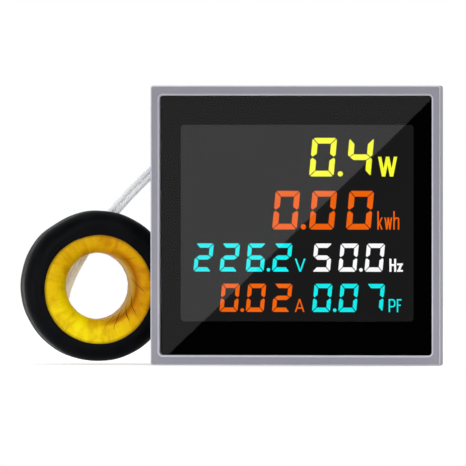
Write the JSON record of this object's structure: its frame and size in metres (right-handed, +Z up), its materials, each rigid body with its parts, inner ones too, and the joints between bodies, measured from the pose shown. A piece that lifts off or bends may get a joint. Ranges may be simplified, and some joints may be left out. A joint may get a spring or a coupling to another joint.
{
  "type": "ac power meter",
  "caption": "Square panel-mount ac power meter with a colour segment display, rear rising-clamp terminals and a separate ring current transformer on two leads.",
  "frame": {"origin": "centre of the rear plane of the bezel flange, which rests on the panel", "axes": "+Z up, +X to the right as seen from the front, the display faces -Y and the body runs along +Y through the panel"},
  "size_m": [0.112, 0.0363, 0.072],
  "materials": {
    "grey_case": "fine matte moulded",
    "clear_lens": "polished clear acrylic",
    "black_print": "screen printed black",
    "dark_film": "smooth film",
    "cell_glass": "clear polished",
    "seal_resin": "cured resin",
    "yellow_light": "backlit display segments",
    "orange_light": "backlit display segments",
    "cyan_light": "backlit display segments",
    "white_light": "backlit display segments",
    "colour_foil": "printed translucent film",
    "guide_acrylic": "clear acrylic with a matte rear",
    "white_foil": "white reflective sheet",
    "board_white": "solder resist",
    "led_resin": "phosphor resin",
    "white_plastic": "moulded",
    "tinned_steel": "tinned",
    "board_green": "solder resist over glass laminate",
    "chip_black": "moulded epoxy",
    "resistor_blue": "lacquered",
    "resistor_green": "cement coated",
    "capacitor_yellow": "moulded box",
    "capacitor_black": "shrink sleeve",
    "varistor_blue": "dipped epoxy",
    "black_plastic": "fine matte moulded",
    "terminal_green": "moulded",
    "tinned_brass": "tinned",
    "zinc_steel": "zinc plated",
    "core_steel": "wound strip",
    "copper_wire": "enamelled copper",
    "yellow_tape": "wrapped polyester tape",
    "black_sleeve": "shrunk satin sleeve",
    "lead_white": "smooth insulation"
  },
  "bodies": {
    "meter": {"front_case": "grey_case", "lens": "clear_lens", "window_mask": "black_print", "lcd_front_polariser": "dark_film", "lcd_front_glass": "cell_glass", "lcd_seal": "seal_resin", "yellow_segments": "yellow_light", "orange_segments": "orange_light", "cyan_segments": "cyan_light", "white_segments": "white_light", "lcd_rear_glass": "cell_glass", "lcd_rear_polariser": "dark_film", "colour_film": "colour_foil", "light_guide": "guide_acrylic", "reflector_sheet": "white_foil", "led_strip": "board_white", "backlight_leds": "led_resin", "lcd_holder": "white_plastic", "lcd_pins": "tinned_steel", "main_board": "board_green", "metering_chip": "chip_black", "controller_chip": "chip_black", "chip_legs": "tinned_steel", "crystal": "tinned_steel", "chip_resistors": "chip_black", "burden_resistor": "resistor_blue", "regulator": "chip_black", "x2_capacitor": "capacitor_yellow", "electrolytic_capacitor": "capacitor_black", "varistor": "varistor_blue", "fuse_resistor": "resistor_green", "bridge_rectifier": "chip_black", "tact_switch": "chip_black", "terminal_block": "terminal_green", "terminal_contacts": "tinned_brass", "rear_cover": "black_plastic", "cover_screws": "zinc_steel", "ct_core": "core_steel", "ct_winding": "copper_wire", "ct_tape": "yellow_tape", "ct_sleeve": "black_sleeve", "ct_lead_left": "lead_white", "ct_lead_right": "lead_white", "ferrule_pins": "tinned_brass", "ferrule_collars": "lead_white"},
    "clip_upper": {"panel_clip_upper": "grey_case"},
    "clip_lower": {"panel_clip_lower": "grey_case"},
    "button": {"reset_button": "black_plastic", "switch_plunger": "chip_black"},
    "screw_1": {"terminal_screw_1": "zinc_steel"},
    "cage_1": {"terminal_cage_1": "zinc_steel"},
    "screw_2": {"terminal_screw_2": "zinc_steel"},
    "cage_2": {"terminal_cage_2": "zinc_steel"},
    "screw_3": {"terminal_screw_3": "zinc_steel"},
    "cage_3": {"terminal_cage_3": "zinc_steel"},
    "screw_4": {"terminal_screw_4": "zinc_steel"},
    "cage_4": {"terminal_cage_4": "zinc_steel"}
  },
  "joints": [
    {"name": "clip_upper_flex", "type": "hinge", "parent": "meter", "child": "clip_upper", "pos_m": [0, 0.0106, 0.03281], "axis": [1, 0, 0], "range_deg": [0, 12], "stiffness_Nm_per_rad": 0.19},
    {"name": "clip_lower_flex", "type": "hinge", "parent": "meter", "child": "clip_lower", "pos_m": [0, 0.0106, -0.03281], "axis": [-1, 0, 0], "range_deg": [0, 12], "stiffness_Nm_per_rad": 0.19},
    {"name": "button_press", "type": "slide", "parent": "meter", "child": "button", "axis": [0, -1, 0], "range_m": [0, 0.0003], "stiffness_N_per_m": 2000},
    {"name": "screw_1_turn", "type": "hinge", "parent": "meter", "child": "screw_1", "pos_m": [0.01143, 0.0218, 0.0142], "axis": [0, -1, 0], "range_deg": [0, 1800]},
    {"name": "cage_1_lift", "type": "slide", "parent": "meter", "child": "cage_1", "axis": [0, 1, 0], "range_m": [0, 0.0025]},
    {"name": "screw_2_turn", "type": "hinge", "parent": "meter", "child": "screw_2", "pos_m": [0.00381, 0.0218, 0.0142], "axis": [0, -1, 0], "range_deg": [0, 1800]},
    {"name": "cage_2_lift", "type": "slide", "parent": "meter", "child": "cage_2", "axis": [0, 1, 0], "range_m": [0, 0.0025]},
    {"name": "screw_3_turn", "type": "hinge", "parent": "meter", "child": "screw_3", "pos_m": [-0.00381, 0.0218, 0.0142], "axis": [0, -1, 0], "range_deg": [-1137.6, 0]},
    {"name": "cage_3_lift", "type": "slide", "parent": "meter", "child": "cage_3", "axis": [0, 1, 0], "range_m": [-0.00158, 0]},
    {"name": "screw_4_turn", "type": "hinge", "parent": "meter", "child": "screw_4", "pos_m": [-0.01143, 0.0218, 0.0142], "axis": [0, -1, 0], "range_deg": [-1137.6, 0]},
    {"name": "cage_4_lift", "type": "slide", "parent": "meter", "child": "cage_4", "axis": [0, 1, 0], "range_m": [-0.00158, 0]}
  ],
  "couplings": [
    {"joint": "screw_1_turn", "follows": "cage_1_lift", "rad_per_m": 12566},
    {"joint": "screw_2_turn", "follows": "cage_2_lift", "rad_per_m": 12566},
    {"joint": "screw_3_turn", "follows": "cage_3_lift", "rad_per_m": 12566},
    {"joint": "screw_4_turn", "follows": "cage_4_lift", "rad_per_m": 12566}
  ]
}
